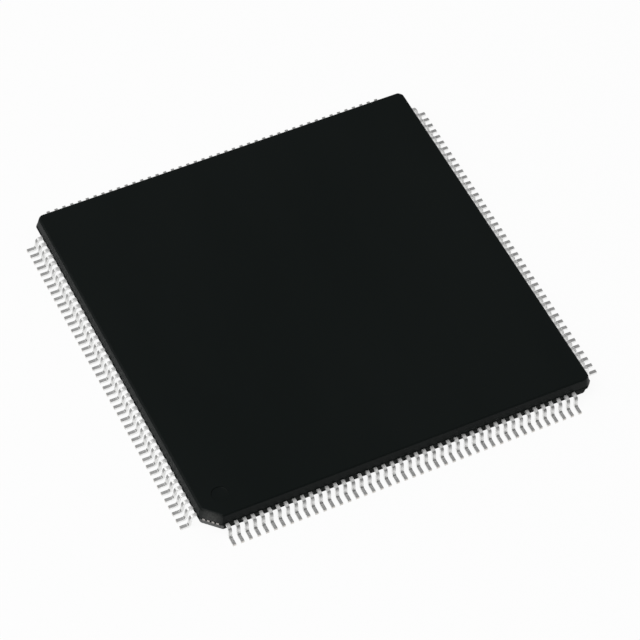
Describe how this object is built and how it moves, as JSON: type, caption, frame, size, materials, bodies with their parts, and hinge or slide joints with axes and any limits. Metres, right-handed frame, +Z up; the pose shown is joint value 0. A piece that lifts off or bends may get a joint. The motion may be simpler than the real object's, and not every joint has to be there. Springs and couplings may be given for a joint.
{
  "type": "quad flat pack chip",
  "caption": "Flat square moulded chip package with gull-wing leads along all four sides, a chamfered pin 1 corner and a round pin 1 mark.",
  "frame": {"origin": "centre of the seating plane that the lead feet rest on", "axes": "+Z up out of the top face, X and Y square to the sides, pin 1 corner at -X -Y"},
  "size_m": [0.026, 0.026, 0.0015],
  "materials": {
    "mould_compound": "black epoxy moulding compound with a fine even matt texture",
    "tin_plate": "matt tin plate over a copper alloy lead frame",
    "copper_alloy": "bare rolled copper alloy sheet",
    "silver_epoxy": "silver-filled adhesive, satin",
    "silicon": "polished grey silicon",
    "polyimide_tape": "amber film with adhesive",
    "gold_wire": "bright drawn gold wire"
  },
  "bodies": {
    "root": {"mould_body": "mould_compound", "die_paddle": "copper_alloy", "die_attach": "silver_epoxy", "silicon_die": "silicon", "lead_lock_tape": "polyimide_tape", "leads_right": "tin_plate", "leads_back": "tin_plate", "leads_left": "tin_plate", "leads_front": "tin_plate", "bond_wires_right": "gold_wire", "bond_wires_back": "gold_wire", "bond_wires_left": "gold_wire", "bond_wires_front": "gold_wire"}
  },
  "joints": []
}
